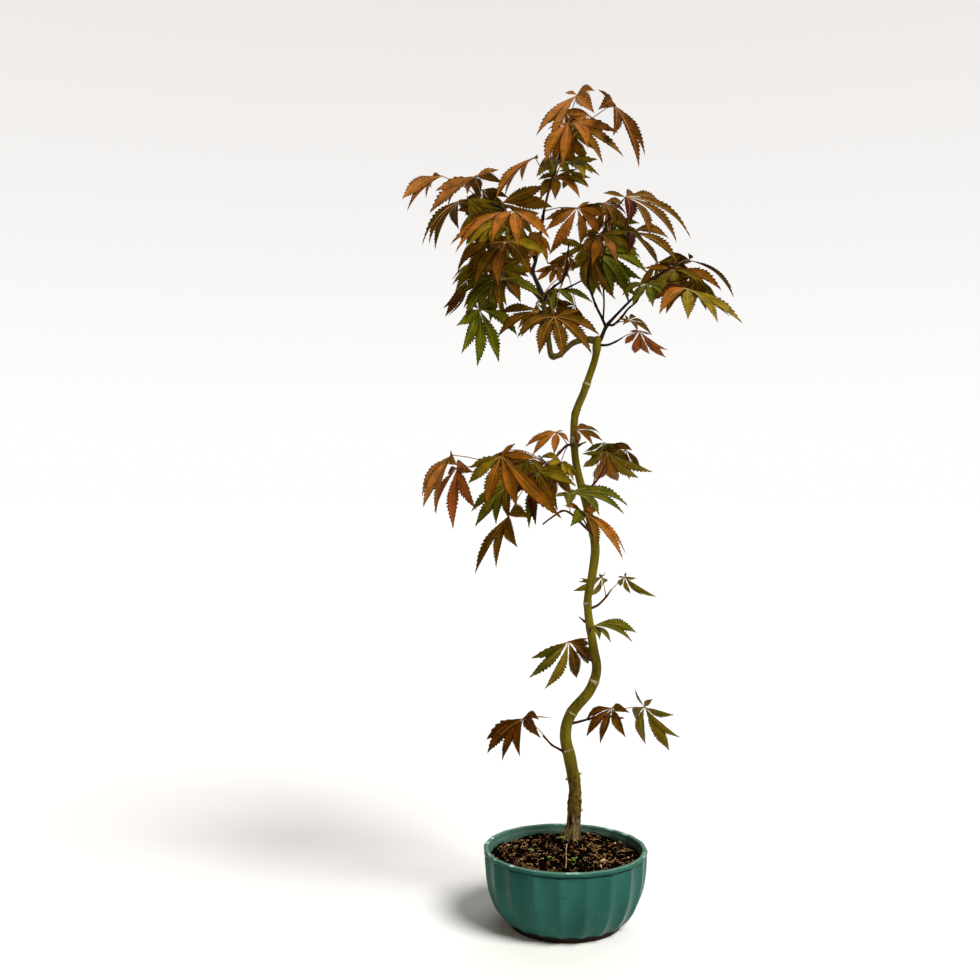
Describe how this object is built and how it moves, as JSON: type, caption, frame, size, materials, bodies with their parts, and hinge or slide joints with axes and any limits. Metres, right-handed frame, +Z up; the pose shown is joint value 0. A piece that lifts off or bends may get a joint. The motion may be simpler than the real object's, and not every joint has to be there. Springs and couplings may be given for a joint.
{
  "type": "potted maple bonsai",
  "caption": "Young Japanese maple trained as a tall slender bonsai, its S-curved trunk carrying lobed leaves, in a round fluted glazed bowl of soil.",
  "frame": {"origin": "centre of the pot's flat underside, on the pot's axis, on the surface it stands on", "axes": "+Z up along the pot's axis, +X to the right and -Y towards the viewer as seen from the front"},
  "size_m": [0.3416, 0.2081, 0.838],
  "materials": {
    "pot": "gloss teal glaze over fired clay, bare at the foot",
    "soil": "dark damp potting soil with bark chips",
    "bark": "smooth olive green bark, grey-brown and rougher at the foot",
    "foliage": "satin leaves in olive, brown and rust"
  },
  "bodies": {
    "root": {"pot": "pot", "soil": "soil", "trunk": "bark", "left_bough": "bark", "left_bough_upper": "bark", "leader": "bark", "right_bough": "bark", "top_foliage": "foliage", "far_left_foliage": "foliage", "left_foliage": "foliage", "lower_left_foliage": "foliage", "centre_foliage": "foliage", "inner_right_foliage": "foliage", "outer_right_foliage": "foliage", "lower_right_spray": "foliage", "red_spray": "foliage", "middle_left_foliage": "foliage", "middle_right_leaf": "foliage", "middle_front_foliage": "foliage", "trunk_leaf": "foliage", "upper_right_shoot": "foliage", "right_leaf": "foliage", "left_shoot": "foliage", "lower_left_shoot": "foliage", "lower_right_shoot": "foliage"}
  },
  "joints": []
}
